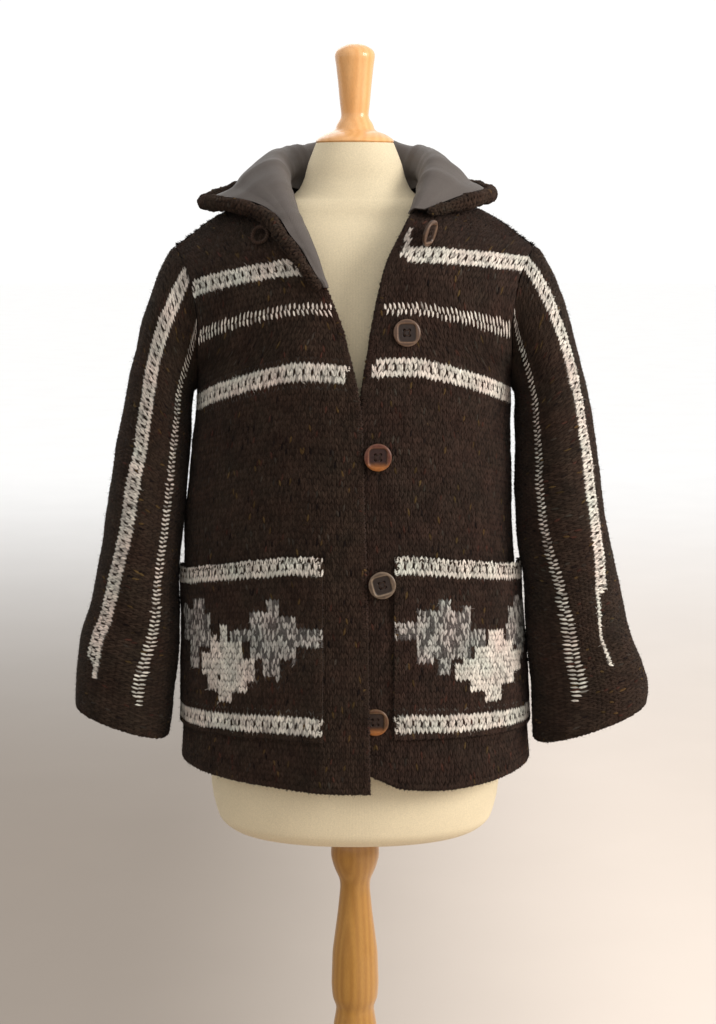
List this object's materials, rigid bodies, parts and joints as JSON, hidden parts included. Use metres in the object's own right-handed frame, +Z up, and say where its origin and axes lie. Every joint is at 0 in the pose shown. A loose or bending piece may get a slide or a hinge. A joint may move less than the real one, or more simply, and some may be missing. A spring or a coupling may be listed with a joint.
{
  "type": "hooded cardigan on dress form",
  "caption": "Heavy hand-knitted hooded cardigan with patch pockets and round buttons, worn open at the neck by a limbless dress form on a turned wooden stand.",
  "frame": {"origin": "centre of the flat underside of the stand's round base", "axes": "+Z up, the garment's front faces -Y, +X is the wearer's left"},
  "size_m": [0.659, 0.4, 1.6275],
  "materials": {
    "knit_brown": "matt, fuzzy hand-knitted wool",
    "lining_taupe": "smooth woven lining",
    "button_horn": "polished horn look",
    "form_jersey": "tight cream jersey",
    "wood_beech": "clear lacquered turned beech"
  },
  "bodies": {
    "root": {"front_right": "knit_brown", "front_left": "knit_brown", "back": "knit_brown", "sleeve_right": "knit_brown", "sleeve_left": "knit_brown", "pocket_right": "knit_brown", "pocket_left": "knit_brown", "hood": "knit_brown", "hood_edging": "knit_brown", "button_loop": "knit_brown", "hood_lining": "lining_taupe", "button_1": "button_horn", "button_2": "button_horn", "button_3": "button_horn", "button_4": "button_horn", "button_5": "button_horn", "dress_form": "form_jersey", "neck_cap": "wood_beech", "pole": "wood_beech", "base": "wood_beech"}
  },
  "joints": []
}
